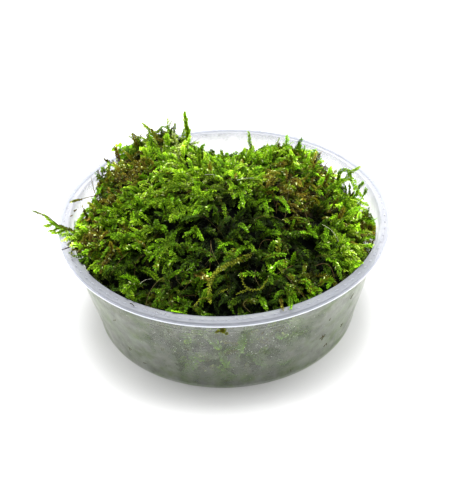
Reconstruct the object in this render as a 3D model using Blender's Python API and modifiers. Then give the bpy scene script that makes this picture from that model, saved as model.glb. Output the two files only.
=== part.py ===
"""A clump of feathery aquarium moss heaped in a round translucent polypropylene tub.

The tub is one turned solid. The moss is one tangled heap that fills the tub and stands above its rim, with
its tufts grown on it, and a few loose shoots that lie in or on the heap are solids of their own.
Lengths are in metres, +Z is up, and the origin is the middle of the tub's flat underside.
"""
import math
import random

import bmesh
import bpy
from mathutils import Vector, noise

MM = 0.001

# The tub, a shallow 250 ml food tub.
RIM_RADIUS = 58.5 * MM
HEIGHT = 39.2 * MM
BASE_RADIUS = 47.2 * MM
WALL = 0.8 * MM
FLOOR_FILLET = 1.6 * MM
BASE_CORNER = 1.2 * MM
RIM_INNER_RADIUS = 54.9 * MM
RIM_THICKNESS = 1.1 * MM
SKIRT_DEPTH = 1.8 * MM
RIM_ROUND = 0.4 * MM
GROOVE_DEPTH = 0.35 * MM
BEAD_WIDTH = 1.0 * MM
BEAD_SLOPE = 0.5 * MM
LEDGE_DROP = 7.0 * MM
LEDGE_WIDTH = 0.9 * MM
LEDGE_SLOPE = 0.63 * MM
LEDGE_RISE = 0.5 * MM
OUTER_LEDGE_DROP = 0.4 * MM
TUB_SEGMENTS = 48
ARC_STEPS = 3

# The heap of moss. Clearance is the gap that it keeps to the tub.
CLEARANCE = 0.4 * MM
HEAP_SEGMENTS = 44
HEAP_RINGS = 8
HEAP_LEVELS = 3
LUMP_HEIGHT = 2.4 * MM
LUMP_SIZE = 8.0 * MM
EDGE_LEVEL = -5.5 * MM

# Rises and dips of the heap: centre x and y, spread along x and y, and height, in millimetres.
HUMPS = (
    {"at": (-4, -6), "spread": (33, 26), "rise": 20.0},
    {"at": (-21, 33), "spread": (10, 9), "rise": 14.5},
    {"at": (-38, 23), "spread": (9, 10), "rise": 4.5},
    {"at": (22, 27), "spread": (12, 8), "rise": 7.5},
    {"at": (-52, 10), "spread": (5, 12), "rise": -9.0},
    {"at": (0, 42), "spread": (9, 10), "rise": -9.0},
    {"at": (50, 14), "spread": (8, 17), "rise": -10.0},
    {"at": (44, -10), "spread": (9, 12), "rise": 3.0},
    {"at": (-42, -14), "spread": (10, 12), "rise": 3.0},
)

# Tufts grown on the heap: toothed locks that lie on it and droop, and thinner sprigs that stand up.
TUFT_SEED = 14
LOCK_COUNT = 54
LOCK_RING_RADIUS = 50.0 * MM
LOCK_LENGTH = (12.0 * MM, 16.0 * MM)
LOCK_POINTS = 7
LOCK_SCALE = 2.5
LOCK_LIFT = (-2.0 * MM, 2.2 * MM, 3.2 * MM, 2.6 * MM)
LOCK_COURSE = {"outward": 0.5, "downhill": 1.5, "stray": 0.8}
LOCK_SHARE_BEHIND = 0.4
SPRIG_COUNT = 12
SPRIG_RING_RADIUS = 38.0 * MM
SPRIG_LENGTH = (6.5 * MM, 9.0 * MM)
SPRIG_ROOT_DEPTH = 2.0 * MM
SPRIG_POINTS = 7
SPRIG_SCALE = 1.1
SPRIG_LEAN = {"upward": 0.5, "stray": 0.4, "bow": 0.16}
TURN_SCATTER = 0.15
TWIST_SCATTER = 0.5

# A shoot is a flattened frond: a diamond section whose edge is toothed by its leaves.
FROND_HALF_WIDTH = 1.2 * MM
FROND_HALF_THICKNESS = 0.55 * MM
LEAF_NOTCH = 0.6
SOCKET_GAP = 0.3 * MM

# Loose shoots. Each path runs from its root in the heap to its tip: x, y and height above the rim, in
# millimetres. Scale is the shoot's size beside a plain frond, and points is how many it is swept on.
LOOSE_SHOOTS = (
    {"name": "left_rim_shoot", "shade": "green", "scale": 0.95, "points": 15, "twist": 0.3,
     "path": ((-48.5, -10, -3), (-50.9, -9, 0), (-54.1, -8, 1.5), (-57.3, -6.5, 2.1), (-61.8, -4, 4.9),
              (-66.5, -3, 6.5))},
    {"name": "left_arc_shoot", "shade": "olive", "scale": 0.6, "points": 11, "twist": 0.3,
     "path": ((-44.5, 4, 3.5), (-47.3, 2, 3.4), (-50, 1, 1.2), (-51.9, -2.5, -0.6), (-50.1, -5, -1.5))},
    {"name": "left_upright_strand", "shade": "olive", "scale": 0.4, "points": 7, "twist": 1.2,
     "path": ((-46.5, 14.5, -1), (-47.2, 15, 3.5), (-47.5, 15, 7.8))},
    {"name": "left_dark_strand", "shade": "brown", "scale": 0.45, "points": 11, "twist": 0.2,
     "path": ((-45, 11, 2.5), (-49.9, 12, 0.8), (-51.8, 11, 0.6), (-54.5, 9, 1.5))},
    {"name": "left_back_leaf", "shade": "green", "scale": 0.85, "points": 7, "twist": 0.5,
     "path": ((-36.5, 30, 7), (-38.5, 31, 10.5), (-41, 32, 11.5))},
    {"name": "back_left_spike", "shade": "green", "scale": 0.75, "points": 9, "twist": 1.2,
     "path": ((-12.5, 33, 8), (-12.6, 34, 14.4), (-13, 34, 21.3))},
    {"name": "back_spike", "shade": "green", "scale": 0.7, "points": 9, "twist": 1.2,
     "path": ((11, 27, 4), (10.8, 28, 8.4), (10.2, 28, 15.8))},
    {"name": "right_arch_shoot", "shade": "green", "scale": 0.8, "points": 15, "twist": 0.4,
     "path": ((36, 14, -3), (42, 16, 0), (46.5, 17, 1.7), (48.5, 13, -0.5), (50.2, 11, -2.8))},
    {"name": "right_side_shoot", "shade": "green", "scale": 0.8, "points": 11, "twist": 0.2,
     "path": ((40, 6, -1), (45.5, 7, -0.5), (51.3, 6, -2.5))},
    {"name": "front_yellow_shoot", "shade": "olive", "scale": 0.85, "points": 17, "twist": 0.1,
     "path": ((10.3, -30, 6), (6.3, -35.2, 7.6), (1.8, -38, 7.6), (-2.8, -41, 6.9), (-5.3, -45, 4.8),
              (-5.3, -49.5, 2))},
    {"name": "front_rim_shoot_left", "shade": "olive", "scale": 0.6, "points": 9, "twist": 0.3,
     "path": ((17.4, -46, -2), (17.3, -50, 1.4), (17.6, -54.4, 1.3))},
    {"name": "front_rim_shoot_right", "shade": "green", "scale": 0.7, "points": 9, "twist": 0.3,
     "path": ((21, -45.5, -2.5), (20.4, -50, 2), (20.2, -54, 1.6))},
)

GOLDEN_ANGLE = math.pi * (3.0 - math.sqrt(5.0))


def arc(centre, radius, start, end, steps=ARC_STEPS):
    """Points of an arc in the profile plane, as (radius, height); angles in degrees."""
    points = []
    for step in range(steps + 1):
        angle = math.radians(start + (end - start) * step / steps)
        points.append((centre[0] + radius * math.cos(angle), centre[1] + radius * math.sin(angle)))
    return points


def ledge_height():
    return HEIGHT - LEDGE_DROP


def wall_radius(height):
    """Inner radius of the tub at a height, from the floor to above the rim."""
    under_ledge = RIM_INNER_RADIUS - LEDGE_WIDTH
    if height >= ledge_height():
        return under_ledge
    fillet_top = WALL + FLOOR_FILLET
    share = (height - fillet_top) / (ledge_height() - fillet_top)
    at_base = BASE_RADIUS - WALL
    return at_base + (under_ledge - at_base) * max(share, 0.0)


def tub_profile():
    """Half section of the tub: along the floor, up the inside, over the rim and down the outside."""
    ledge = ledge_height()
    under_ledge = RIM_INNER_RADIUS - LEDGE_WIDTH
    above_ledge = under_ledge + LEDGE_SLOPE
    inner_base = BASE_RADIUS - WALL
    floor_arc = arc((inner_base - FLOOR_FILLET, WALL + FLOOR_FILLET), FLOOR_FILLET, -90, 0)
    inside = [(0.0, WALL)] + floor_arc + [(under_ledge, ledge), (above_ledge, ledge + LEDGE_RISE)]
    rim = arc((RIM_INNER_RADIUS + RIM_ROUND, HEIGHT - RIM_ROUND), RIM_ROUND, 180, 90, 2)
    rim += [
        (RIM_INNER_RADIUS + BEAD_WIDTH, HEIGHT),
        (RIM_INNER_RADIUS + BEAD_WIDTH + BEAD_SLOPE, HEIGHT - GROOVE_DEPTH),
        (RIM_RADIUS - BEAD_WIDTH - BEAD_SLOPE, HEIGHT - GROOVE_DEPTH),
        (RIM_RADIUS - BEAD_WIDTH, HEIGHT),
    ]
    rim += arc((RIM_RADIUS - RIM_ROUND, HEIGHT - RIM_ROUND), RIM_ROUND, 90, 0, 2)
    skirt_foot = HEIGHT - SKIRT_DEPTH
    skirt = [
        (RIM_RADIUS, skirt_foot),
        (RIM_RADIUS - WALL, skirt_foot),
        (RIM_RADIUS - WALL, HEIGHT - RIM_THICKNESS),
    ]
    outside = [
        (RIM_INNER_RADIUS + WALL, HEIGHT - RIM_THICKNESS),
        (above_ledge + WALL, ledge + LEDGE_RISE - OUTER_LEDGE_DROP),
        (under_ledge + WALL, ledge - OUTER_LEDGE_DROP),
    ]
    foot = arc((BASE_RADIUS - BASE_CORNER, BASE_CORNER), BASE_CORNER, 0, -90, 2)
    return inside + rim + skirt + outside + foot + [(0.0, 0.0)]


def new_collection(name):
    collection = bpy.data.collections.new(name)
    bpy.context.scene.collection.children.link(collection)
    return collection


def new_material(name, colour, roughness, alpha=1.0):
    material = bpy.data.materials.new(name)
    material.use_nodes = True
    shader = material.node_tree.nodes["Principled BSDF"]
    shader.inputs["Base Color"].default_value = (*colour, 1.0)
    shader.inputs["Roughness"].default_value = roughness
    shader.inputs["Metallic"].default_value = 0.0
    shader.inputs["Alpha"].default_value = alpha
    return material


def new_object(name, data, collection, material=None):
    item = bpy.data.objects.new(name, data)
    collection.objects.link(item)
    if material is not None:
        data.materials.append(material)
    return item


def make_guide(item):
    """Marks an object that only shapes others, and so isn't part of the model."""
    item.hide_render = True
    item.display_type = "WIRE"


def turned_mesh(name, profile, segments):
    """A closed mesh turned from a half section about Z."""
    line = bpy.data.meshes.new(name + "_section")
    edges = [(index, index + 1) for index in range(len(profile) - 1)]
    line.from_pydata([(radius, 0.0, height) for radius, height in profile], edges, [])
    turned = bpy.data.objects.new(name + "_section", line)
    bpy.context.scene.collection.objects.link(turned)
    screw = turned.modifiers.new("turn", "SCREW")
    screw.axis = "Z"
    screw.steps = segments
    screw.render_steps = segments
    screw.use_merge_vertices = True
    screw.merge_threshold = 0.00001
    graph = bpy.context.evaluated_depsgraph_get()
    mesh = bpy.data.meshes.new_from_object(turned.evaluated_get(graph))
    mesh.name = name
    bpy.data.objects.remove(turned)
    return mesh


def make_tub(collection, material):
    mesh = turned_mesh("tub", tub_profile(), TUB_SEGMENTS)
    mesh.shade_smooth()
    mesh.set_sharp_from_angle(angle=math.radians(40))
    return new_object("tub", mesh, collection, material)


def heap_height(x, y):
    """Height of the heap's surface above the floor that the tub stands on, without its tufts."""
    rise = EDGE_LEVEL
    for hump in HUMPS:
        along = (x / MM - hump["at"][0]) / hump["spread"][0]
        across = (y / MM - hump["at"][1]) / hump["spread"][1]
        rise += hump["rise"] * MM * math.exp(-(along ** 2 + across ** 2) / 2.0)
    lump = noise.noise(Vector((x, y, 0.0)) / LUMP_SIZE)
    return HEIGHT + rise + LUMP_HEIGHT * lump


def heap_normal(x, y):
    step = 1.0 * MM
    slope_x = (heap_height(x + step, y) - heap_height(x - step, y)) / (2.0 * step)
    slope_y = (heap_height(x, y + step) - heap_height(x, y - step)) / (2.0 * step)
    return Vector((-slope_x, -slope_y, 1.0)).normalized()


def heap_edge_height(direction):
    """Where the heap's surface meets the tub's wall, along a horizontal direction."""
    height = HEIGHT
    for _ in range(6):
        reach = direction * (wall_radius(height) - CLEARANCE)
        height = heap_height(reach.x, reach.y)
    return height


def heap_mesh():
    """A turned drum one unit wide and high, whose points are moved to fill the tub and heap up."""
    top = [(ring / HEAP_RINGS, 1.0) for ring in range(HEAP_RINGS + 1)]
    side = [(1.0, 1.0 - level / HEAP_LEVELS) for level in range(1, HEAP_LEVELS + 1)]
    mesh = turned_mesh("moss_mound", top + side + [(0.0, 0.0)], HEAP_SEGMENTS)
    bottom = WALL + CLEARANCE
    for vertex in mesh.vertices:
        share = math.hypot(vertex.co.x, vertex.co.y)
        level = vertex.co.z
        direction = Vector((vertex.co.x, vertex.co.y, 0.0)) / share if share > 1e-6 else Vector((1, 0, 0))
        edge = heap_edge_height(direction)
        height = bottom + (edge - bottom) * level
        fillet = FLOOR_FILLET * max(0.0, 1.0 - (height - bottom) / FLOOR_FILLET)
        radius = share * (wall_radius(height) - CLEARANCE - fillet)
        spot = direction * radius
        if level > 0.999:
            height = heap_height(spot.x, spot.y)
        vertex.co = (spot.x, spot.y, height)
    return mesh


def frond_radii(count):
    """Size of a frond at each of its points: a thin stem, toothed leaf edges and a blunt tip."""
    radii = []
    for index in range(count):
        share = index / (count - 1)
        swell = min(1.0, 0.45 + 1.6 * share, 0.3 + 2.4 * (1.0 - share))
        radii.append(swell * (1.0 if index % 2 else LEAF_NOTCH))
    return radii


def smooth_path(points, count):
    """Points spaced along a smooth curve through the given ones."""
    path = []
    last = len(points) - 1
    for index in range(count):
        place = last * index / (count - 1)
        span = min(int(place), last - 1)
        share = place - span
        before = points[max(span - 1, 0)]
        start, end = points[span], points[span + 1]
        after = points[min(span + 2, last)]
        path.append(0.5 * (
            2.0 * start + (end - before) * share
            + (2.0 * before - 5.0 * start + 4.0 * end - after) * share ** 2
            + (3.0 * start - before - 3.0 * end + after) * share ** 3
        ))
    return path


def make_section(collection):
    """The flattened diamond that every frond is swept from."""
    curve = bpy.data.curves.new("frond_section", "CURVE")
    curve.dimensions = "2D"
    spline = curve.splines.new("POLY")
    corners = ((1, 0), (0, 1), (-1, 0), (0, -1))
    spline.points.add(len(corners) - 1)
    for point, (wide, thick) in zip(spline.points, corners):
        point.co = (wide * FROND_HALF_WIDTH, thick * FROND_HALF_THICKNESS, 0.0, 1.0)
    spline.use_cyclic_u = True
    section = new_object("frond_section", curve, collection)
    make_guide(section)
    return section


def frond_mesh(name, path, radii, section, twist=0.0):
    """A frond swept along a path, as one closed mesh."""
    curve = bpy.data.curves.new(name, "CURVE")
    curve.dimensions = "3D"
    curve.twist_mode = "Z_UP"
    curve.bevel_mode = "OBJECT"
    curve.bevel_object = section
    curve.use_fill_caps = True
    spline = curve.splines.new("POLY")
    spline.points.add(len(path) - 1)
    for point, place, radius in zip(spline.points, path, radii):
        point.co = (*place, 1.0)
        point.radius = radius
        point.tilt = twist
    swept = bpy.data.objects.new(name, curve)
    bpy.context.scene.collection.objects.link(swept)
    graph = bpy.context.evaluated_depsgraph_get()
    mesh = bpy.data.meshes.new_from_object(swept.evaluated_get(graph))
    bpy.data.objects.remove(swept)
    shape = bmesh.new()
    shape.from_mesh(mesh)
    bmesh.ops.remove_doubles(shape, verts=shape.verts, dist=0.000001)
    bmesh.ops.recalc_face_normals(shape, faces=shape.faces)
    shape.to_mesh(mesh)
    shape.free()
    mesh.name = name
    return mesh


def excess(place, half_width):
    """How far a frond's edge at a place would reach past the room inside the tub's wall."""
    limit = wall_radius(place.z) - CLEARANCE - half_width
    return max(0.0, math.hypot(place.x, place.y) - limit)


def drawn_inside(route, x, y, half_width):
    """The path that a route gives from a spot, with the spot drawn inwards until the path clears the wall."""
    outward = Vector((x, y, 0.0)).normalized()
    spot = Vector((x, y, 0.0))
    for _ in range(4):
        places = route(spot)
        spot = spot - outward * max(excess(place, half_width) for place in places)
    return route(spot)


def lock_route(x, y, rng):
    """A lock creeps over the heap, away from its middle and downhill, and droops at its tip."""
    normal = heap_normal(x, y)
    around = rng.uniform(0.0, 2.0 * math.pi)
    course = LOCK_COURSE["stray"] * Vector((math.cos(around), math.sin(around), 0.0))
    course += LOCK_COURSE["outward"] * Vector((x, y, 0.0)).normalized()
    course += LOCK_COURSE["downhill"] * Vector((normal.x, normal.y, 0.0))
    course.normalize()
    length = rng.uniform(*LOCK_LENGTH)

    def route(middle):
        places = []
        for step, lift in enumerate(LOCK_LIFT):
            spot = middle + course * length * (step / (len(LOCK_LIFT) - 1) - LOCK_SHARE_BEHIND)
            places.append(Vector((spot.x, spot.y, heap_height(spot.x, spot.y) + lift)))
        return places

    return route


def sprig_route(x, y, rng):
    """A sprig stands out of the heap and bows a little."""
    normal = heap_normal(x, y)
    around = rng.uniform(0.0, 2.0 * math.pi)
    sideways = Vector((math.cos(around), math.sin(around), 0.0))
    upwards = Vector((0.0, 0.0, SPRIG_LEAN["upward"]))
    lean = (normal + upwards + SPRIG_LEAN["stray"] * sideways).normalized()
    bowed = (lean + SPRIG_LEAN["bow"] * sideways).normalized()
    length = rng.uniform(*SPRIG_LENGTH)

    def route(foot):
        start = Vector((foot.x, foot.y, heap_height(foot.x, foot.y) - SPRIG_ROOT_DEPTH))
        return [start, start + lean * length * 0.5, start + bowed * length]

    return route


def make_tufts(collection, section):
    """Tufts spread evenly over the heap like the seeds of a sunflower."""
    rng = random.Random(TUFT_SEED)
    kinds = (
        ("lock", LOCK_COUNT, LOCK_RING_RADIUS, LOCK_SCALE, LOCK_POINTS, lock_route),
        ("sprig", SPRIG_COUNT, SPRIG_RING_RADIUS, SPRIG_SCALE, SPRIG_POINTS, sprig_route),
    )
    for kind, count, ring_radius, scale, points, make_route in kinds:
        for index in range(count):
            reach = ring_radius * math.sqrt((index + 0.5) / count)
            turn = index * GOLDEN_ANGLE + rng.uniform(-TURN_SCATTER, TURN_SCATTER)
            twist = rng.uniform(-TWIST_SCATTER, TWIST_SCATTER)
            x, y = reach * math.cos(turn), reach * math.sin(turn)
            places = drawn_inside(make_route(x, y, rng), x, y, scale * FROND_HALF_WIDTH)
            radii = [scale * radius for radius in frond_radii(points)]
            mesh = frond_mesh(f"{kind}_{index:02d}", smooth_path(places, points), radii, section, twist)
            make_guide(new_object(mesh.name, mesh, collection))


def loose_path(shoot):
    places = [Vector((x * MM, y * MM, HEIGHT + z * MM)) for x, y, z in shoot["path"]]
    return smooth_path(places, shoot["points"])


def lengthened(path, reach):
    """The same path, carried on by a short reach at both ends."""
    start = path[0] + (path[0] - path[1]).normalized() * reach
    end = path[-1] + (path[-1] - path[-2]).normalized() * reach
    return [start] + path[1:-1] + [end]


def make_loose_shoots(collection, cutters, section, materials):
    """Each loose shoot is a solid of its own, in a socket of the heap that clears it all round."""
    side = math.hypot(FROND_HALF_WIDTH, FROND_HALF_THICKNESS)
    face_distance = FROND_HALF_WIDTH * FROND_HALF_THICKNESS / side
    for shoot in LOOSE_SHOOTS:
        path = loose_path(shoot)
        radii = [shoot["scale"] * radius for radius in frond_radii(len(path))]
        mesh = frond_mesh(shoot["name"], path, radii, section, shoot["twist"])
        new_object(shoot["name"], mesh, collection, materials[shoot["shade"]])
        wide = [radius + SOCKET_GAP / face_distance for radius in radii]
        longer = lengthened(path, SOCKET_GAP)
        hole = frond_mesh(shoot["name"] + "_socket", longer, wide, section, shoot["twist"])
        make_guide(new_object(hole.name, hole, cutters))


def make_heap(collection, tufts, sockets, material):
    heap = new_object("moss_mound", heap_mesh(), collection, material)
    grown = heap.modifiers.new("tufts", "BOOLEAN")
    grown.operation = "UNION"
    grown.operand_type = "COLLECTION"
    grown.collection = tufts
    grown.solver = "MANIFOLD"
    cut = heap.modifiers.new("sockets", "BOOLEAN")
    cut.operation = "DIFFERENCE"
    cut.operand_type = "COLLECTION"
    cut.collection = sockets
    cut.solver = "MANIFOLD"
    return heap


def main():
    for item in list(bpy.data.objects):
        bpy.data.objects.remove(item)
    model = new_collection("moss_in_tub")
    guides = new_collection("guides")
    tufts = new_collection("tufts")
    sockets = new_collection("sockets")
    clear_plastic = new_material("translucent_polypropylene", (0.86, 0.87, 0.9), 0.3, 0.45)
    shades = {
        "heap": new_material("moss_green", (0.12, 0.27, 0.02), 0.6),
        "green": new_material("fresh_moss", (0.25, 0.45, 0.03), 0.55),
        "olive": new_material("olive_moss", (0.32, 0.33, 0.05), 0.6),
        "brown": new_material("dead_moss", (0.09, 0.07, 0.03), 0.7),
    }
    section = make_section(guides)
    make_tub(model, clear_plastic)
    make_tufts(tufts, section)
    make_loose_shoots(model, sockets, section, shades)
    make_heap(model, tufts, sockets, shades["heap"])


main()
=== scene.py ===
"""A clump of feathery aquarium moss heaped in a round translucent polypropylene tub: its looks.

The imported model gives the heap's shape and where everything lies. On it the script grows the moss as leafy
shoots, turns the tub finely, and adds the stray stems, crumbs and water specks that such a tub has.
Lengths are in metres, +Z is up, and the origin is the middle of the tub's flat underside. The tables of
patches, layers, kinds of shoot and paths are in millimetres.
"""

import math
from collections import namedtuple

import bpy
import numpy as np
from mathutils import Matrix, Vector
from mathutils.bvhtree import BVHTree


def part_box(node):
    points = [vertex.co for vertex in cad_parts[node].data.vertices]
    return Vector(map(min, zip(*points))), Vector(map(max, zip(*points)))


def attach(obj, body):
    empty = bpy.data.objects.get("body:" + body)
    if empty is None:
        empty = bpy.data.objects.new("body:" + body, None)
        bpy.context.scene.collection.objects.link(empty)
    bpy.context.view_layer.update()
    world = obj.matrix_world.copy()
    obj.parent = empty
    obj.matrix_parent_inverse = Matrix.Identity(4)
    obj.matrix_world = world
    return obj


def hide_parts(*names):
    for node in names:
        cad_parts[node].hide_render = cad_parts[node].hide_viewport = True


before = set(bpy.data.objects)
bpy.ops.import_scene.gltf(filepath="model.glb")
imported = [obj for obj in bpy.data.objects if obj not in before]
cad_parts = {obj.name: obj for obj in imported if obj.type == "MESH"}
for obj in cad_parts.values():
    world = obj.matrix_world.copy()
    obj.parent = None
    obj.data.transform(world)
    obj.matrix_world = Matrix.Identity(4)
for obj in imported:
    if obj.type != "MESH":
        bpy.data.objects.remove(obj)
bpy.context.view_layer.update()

MM = 0.001
BODY = "root"
SEED = 7
FULL_TURN = 2.0 * math.pi
UPRIGHT = np.array([0.0, 0.0, 1.0])

# The camera. The focal length in pixels was fitted to the tub's circles in a frame 489 pixels high.
FRAME_HEIGHT = 489
FOCAL_PIXELS = 1130.5
SENSOR = 36.0
CAMERA_ELEVATION = math.radians(37.5)
CAMERA_ROLL = math.radians(2.16)
CAMERA_DISTANCE = 409.5 * MM
CAMERA_TARGET = Vector((1.755, 0.0, 25.4)) * MM

# The studio
TENT_STRENGTH = 0.7
FLOOR_SIZE = 6.0
FLOOR_DROP = 0.02 * MM
SOFTBOX_SIZE = 0.5
LIT_POINT = Vector((0.0, 0.0, 0.02))

# The tub. Its height and outer radius come from the frame.
RIM_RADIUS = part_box("tub")[1].x
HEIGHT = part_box("tub")[1].z
BASE_RADIUS = 47.2 * MM
WALL = 0.8 * MM
FLOOR_FILLET = 1.6 * MM
FOOT_BEAD_HEIGHT = 0.6 * MM
FOOT_BEAD_WIDTH = 0.27 * MM
RIM_INNER_RADIUS = 54.9 * MM
RIM_THICKNESS = 1.1 * MM
SKIRT_DEPTH = 1.8 * MM
RIM_ROUND = 0.4 * MM
GROOVE_DEPTH = 0.35 * MM
BEAD_WIDTH = 1.0 * MM
BEAD_SLOPE = 0.5 * MM
LEDGE_DROP = 7.0 * MM
LEDGE_WIDTH = 0.9 * MM
LEDGE_SLOPE = 0.63 * MM
LEDGE_RISE = 0.5 * MM
OUTER_LEDGE_DROP = 0.4 * MM
LEDGE = HEIGHT - LEDGE_DROP
UNDER_LEDGE = RIM_INNER_RADIUS - LEDGE_WIDTH
WALL_STEPS = 12
TUB_SEGMENTS = 180
SHARP_ANGLE = math.radians(35)
NUB_COUNT = 92
NUB_LENGTH = 1.9 * MM
NUB_BREADTH = 0.7 * MM
NUB_HEIGHT = 0.4 * MM
NUB_MILK = 0.58
NUB_FILM = 0.24
# A painted glow: the lip's tint, lighter than the plastic, as if the lip piped light
LIP_PAINTED_GLOW = "#E0E3EA"
RIM_MILK = "#8E9198"
WALL_MILK = "#C6CABE"
GREEN_MILK = "#86A060"
SMEAR_SIZE = 5.0 * MM
STAIN_SIZE = 7.0 * MM
PLASTIC_IOR = 1.49
WATER_IOR = 1.33

# From the rim down: the drop in mm, how milky the tub looks there, and how much film clings to it. Where
# the film value is near nothing, at the thin lip of its skirt, it picks the lip's painted glow, so the lip
# looks brightest. Towards the foot, most at its bead, the wall is made milkier: painted light against the
# shade there.
MILK = (
    (0.0, 0.54, 0.3), (0.5, 0.54, 0.3), (1.2, 0.54, 0.32), (1.4, 0.9, 0.05), (1.8, 0.9, 0.0),
    (1.9, 0.25, 0.8), (5.0, 0.26, 1.0), (20.0, 0.29, 1.0), (31.0, 0.32, 1.0), (35.0, 0.42, 1.0),
    (38.55, 0.52, 1.0), (38.65, 0.95, 0.8), (39.15, 0.95, 0.8), (39.2, 0.4, 0.6),
)
# Painted light: the wall is made milkier, so lighter, most at its sides and least at its back: degrees from
# its front, and milk added there
MILK_AROUND = ((0, 0.0), (20, 0.03), (55, 0.34), (90, 0.2), (120, -0.02))
# What has more film than this counts as wall, and what lies less than this far down, in mm, as the rim's top
FILM_ON_WALL = 0.5
RIM_TOP = 1.3
# Painted light: the rim's milk and film fall towards the back, so it looks lighter there, from the first of
# these angles to the second
RIM_LIGHTENS_BETWEEN = (45, 125)
RIM_BACK_LIGHTENING = 0.11
NUBS_BACK_LIGHTENING = 0.75

# The moss. A shoot is a stem with ranks of small leaves, and a spray is a leafy stem with side shoots.
MOSS_GAP = 0.25 * MM
GRID_STEP = 1.0 * MM
HEAP_REACH = 52.4 * MM
# How far out moss may hang over the rim, for each unit of its height above it
OVERHANG = 1.2
SECTORS = (
    "moss_left_front", "moss_front", "moss_right_front", "moss_right_back", "moss_back", "moss_left_back",
)

# Colours of moss by its age, from fresh at 0 to dead at 1
FRESH_TO_DEAD = (
    (0.0, "#CCDA8C"), (0.06, "#B4D03C"), (0.15, "#94BE1C"), (0.3, "#6C9E12"), (0.45, "#547F0C"),
    (0.6, "#7E7C1C"), (0.75, "#766620"), (1.0, "#2C2410"),
)
YELLOWED = ((0.0, "#BCC43C"), (0.2, "#8E9A1C"), (0.4, "#7C7E1C"), (0.7, "#5E5018"), (1.0, "#3A2C10"))
STEMS = ((0.0, "#B4B4A0"), (0.25, "#8C8450"), (0.5, "#74603A"), (0.75, "#4A3820"), (1.0, "#1E1710"))


def unit(vectors):
    return vectors / np.maximum(np.linalg.norm(vectors, axis=-1, keepdims=True), 1e-12)


def around(radius, angle, height):
    """Places, or directions, given by radii and angles about the tub's axis and by heights."""
    return np.stack([radius * np.cos(angle), radius * np.sin(angle), height + 0.0 * angle], axis=-1)


def colour(code):
    """A linear colour from its sRGB hex code."""
    parts = [int(code[place:place + 2], 16) / 255.0 for place in (1, 3, 5)]
    linear = [part / 12.92 if part <= 0.04045 else ((part + 0.055) / 1.055) ** 2.4 for part in parts]
    return (*linear, 1.0)


# Materials

def add_node(tree, kind, settings=(), links=(), result=0):
    """Adds a shader node of a kind and gives one of its outputs, by name or number.

    Its settings are properties or input values, and its links are other nodes' outputs for its inputs.
    """
    node = tree.nodes.new("ShaderNode" + kind)
    for name, value in dict(settings).items():
        if isinstance(name, str) and hasattr(node, name):
            setattr(node, name, value)
        else:
            node.inputs[name].default_value = value
    for name, source in dict(links).items():
        tree.links.new(source, node.inputs[name])
    return node.outputs[result] if node.outputs else None


def set_ramp(node, stops):
    """Fills a colour ramp from pairs of place and hex code."""
    elements = node.color_ramp.elements
    while len(elements) < len(stops):
        elements.new(0.5)
    for element, (place, code) in zip(elements, stops):
        element.position = place
        element.color = colour(code)


def new_material(name):
    material = bpy.data.materials.new(name)
    material.use_nodes = True
    material.node_tree.nodes.clear()
    return material


def finish_material(material, surface):
    add_node(material.node_tree, "OutputMaterial", links={"Surface": surface})
    return material


def moss_material(name, stops):
    """Moss leaves are one cell thick, so they shine wetly on top and glow where light comes through them.

    The colour runs with each leaf's age, from fresh to dead, and its strength with painted light and shade.
    """
    material = new_material(name)
    tree = material.node_tree
    age = add_node(tree, "Attribute", {"attribute_name": "age"}, result="Fac")
    light = add_node(tree, "Attribute", {"attribute_name": "light"}, result="Fac")
    ramp = add_node(tree, "ValToRGB", links={"Fac": age})
    set_ramp(ramp.node, stops)
    toned = add_node(tree, "HueSaturation", links={"Color": ramp, "Value": light})
    skin = add_node(tree, "BsdfPrincipled", {"Roughness": 0.5, "IOR": WATER_IOR, "Specular IOR Level": 0.14},
                    {"Base Color": toned})
    glow = add_node(tree, "BsdfTranslucent", links={"Color": toned})
    both = add_node(tree, "MixShader", {"Fac": 0.35}, {1: skin, 2: glow})
    return finish_material(material, both)


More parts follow.
